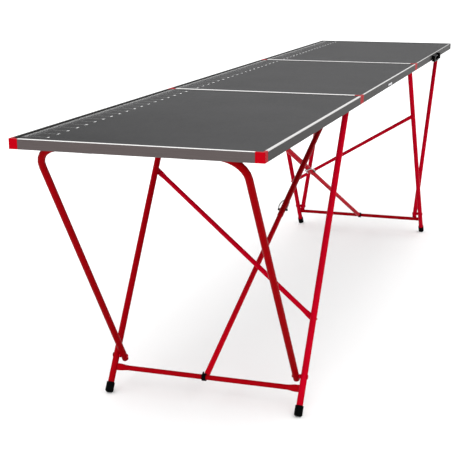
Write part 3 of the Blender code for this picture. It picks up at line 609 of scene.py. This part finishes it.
def heads_recipe():
    """A copy of a head at each place, facing the way that the place's attribute says."""
    recipe = Recipe("fastening_heads", {
        "Places": "NodeSocketGeometry", "Head": "NodeSocketObject", "Coat": "NodeSocketMaterial"})
    outward = recipe.node("GeometryNodeInputNamedAttribute", {"data_type": "FLOAT_VECTOR"}, {
        "Name": "outward"})
    turn = recipe.node("FunctionNodeAlignRotationToVector", {"axis": "Z"}, {
        "Vector": outward.outputs["Attribute"]})
    head = recipe.node("GeometryNodeObjectInfo", sockets={"Object": recipe.given["Head"]})
    recipe.lay({"Points": recipe.given["Places"], "Instance": head.outputs["Geometry"],
                "Rotation": turn.outputs["Rotation"]})
    return recipe


HEADS = heads_recipe()


def heads_mesh(size, places):
    """Heads of one size; each place is a point and the direction that its head faces."""
    head = head_object(*size)
    mesh = bpy.data.meshes.new("places")
    mesh.from_pydata([point for point, direction in places], [], [])
    outward = mesh.attributes.new("outward", "FLOAT_VECTOR", "POINT")
    for value, (point, direction) in zip(outward.data, places):
        value.vector = direction
    result = HEADS.made_on(mesh, {"Head": head, "Coat": ZINC})
    bpy.data.objects.remove(head)
    return result


def hinge_screws(x):
    return [((x, HINGE_SCREW_SPACING * step, LEAF_UNDERSIDE_Z), DOWN)
            for step in HINGE_SCREW_STEPS]


def bracket_rivets(end_name):
    """Four rivets in the base of a stay's bracket, which is turned a little about Z."""
    bracket = NODES[f"{end_name}_stay_bracket"].data
    base = [vertex.co for vertex in bracket.vertices
            if vertex.co.z > STRIP_UNDERSIDE_Z + BRACKET_BASE_ABOVE]
    middle = sum(base, Vector()) / len(base)
    pin, stay = LOCKS[f"{end_name}_lock_bail"]
    along = Vector((stay[0], stay[1], 0)).normalized()
    aside = Vector((-along.y, along.x, 0))
    rivets = []
    for ahead in (-1, 1):
        for side in (-1, 1):
            spot = (middle + along * BRACKET_RIVET_ALONG * ahead
                    + aside * BRACKET_RIVET_ASIDE * side)
            rivets.append(((spot.x, spot.y, STRIP_UNDERSIDE_Z), DOWN))
    return rivets


def add_fastenings(name, screws, rivets):
    meshes = [heads_mesh(SMALL_HEAD, screws), heads_mesh(FLAT_HEAD, rivets)]
    add_piece(f"{name}_panel_fastenings", meshes, ZINC, f"{name}_panel")


def hook_rivets(x):
    return [((x, y, STRIP_UNDERSIDE_Z), DOWN) for y in HOOK_RIVET_YS]


handle_screws = [((x, HANDLE_PLATE_Y, HANDLE_SCREW_Z), FRONTWARDS) for x in HANDLE_SCREW_XS]
outer_hinge_x = PANEL / 2 + HINGE_SCREW_FROM_JOINT
inner_hinge_x = PANEL / 2 - HINGE_SCREW_FROM_JOINT
add_fastenings("near", hinge_screws(-outer_hinge_x), hook_rivets(-HOOK_RIVET_X))
add_fastenings("far", hinge_screws(outer_hinge_x),
               hook_rivets(HOOK_RIVET_X - FAR_FRAME_INSET) + handle_screws)
add_fastenings("middle", hinge_screws(-inner_hinge_x) + hinge_screws(inner_hinge_x),
               bracket_rivets("near") + bracket_rivets("far"))


# Studio: a pale floor, soft light, and the camera

def pale_floor():
    mesh = bpy.data.meshes.new("floor")
    corners = [(x * FLOOR_HALF, y * FLOOR_HALF, 0) for x, y in ((-1, -1), (1, -1), (1, 1), (-1, 1))]
    mesh.from_pydata(corners, [], [(0, 1, 2, 3)])
    mesh.materials.append(Finish("pale_floor", grey(0.80), 0.9, specular=0.0).material)
    floor = bpy.data.objects.new("floor", mesh)
    bpy.context.scene.collection.objects.link(floor)


def white_sky():
    world = bpy.data.worlds.new("studio")
    world.use_nodes = True
    background = world.node_tree.nodes["Background"]
    background.inputs["Color"].default_value = (1, 1, 1, 1)
    background.inputs["Strength"].default_value = SKY_STRENGTH
    bpy.context.scene.world = world


def add_lamp(lamp, place, aim):
    light = bpy.data.objects.new(lamp.name, lamp)
    light.location = place
    light.rotation_euler = (Vector(aim) - Vector(place)).to_track_quat("-Z", "Y").to_euler()
    bpy.context.scene.collection.objects.link(light)


def soft_light(name, place, aim, size, power):
    lamp = bpy.data.lights.new(name, "AREA")
    lamp.shape = "RECTANGLE"
    lamp.size, lamp.size_y = size
    lamp.energy = power
    add_lamp(lamp, place, aim)


def wide_light(name, place, strength, spread):
    """An even light over the whole floor, from the way of the place; the spread is in degrees."""
    lamp = bpy.data.lights.new(name, "SUN")
    lamp.energy = strength
    lamp.angle = math.radians(spread)
    add_lamp(lamp, place, (0, 0, 0))


def photo_camera():
    """The photo's view: yaw and pitch of the line of sight, a trace of roll, an off-centre crop."""
    yaw, pitch, roll = 0.32018, -0.26830, -0.00199
    level = math.cos(pitch)
    forward = Vector((math.cos(yaw) * level, math.sin(yaw) * level, math.sin(pitch)))
    right = forward.cross(Vector((0, 0, 1))).normalized()
    up = right.cross(forward)
    x_axis = right * math.cos(roll) + up * math.sin(roll)
    y_axis = up * math.cos(roll) - right * math.sin(roll)
    data = bpy.data.cameras.new("camera")
    data.lens = CAMERA_LENS
    data.sensor_width = CAMERA_SENSOR
    data.shift_x, data.shift_y = CAMERA_SHIFT
    camera = bpy.data.objects.new("camera", data)
    camera.location = CAMERA_PLACE
    camera.rotation_euler = Matrix((x_axis, y_axis, -forward)).transposed().to_euler()
    bpy.context.scene.collection.objects.link(camera)
    bpy.context.scene.camera = camera


pale_floor()
white_sky()
wide_light("daylight", place=(-3.5, -1.0, 6.5), strength=1.0, spread=70)
soft_light("key", place=(-4.8, -0.5, 0.62), aim=(-1.5, 0, 0.6), size=(1.4, 0.9), power=50)
soft_light("far fill", place=(2.6, 0.2, 3.2), aim=(1.0, 0, 0.77), size=(2.0, 2.0), power=14)
photo_camera()
bpy.context.scene.view_settings.view_transform = "Standard"
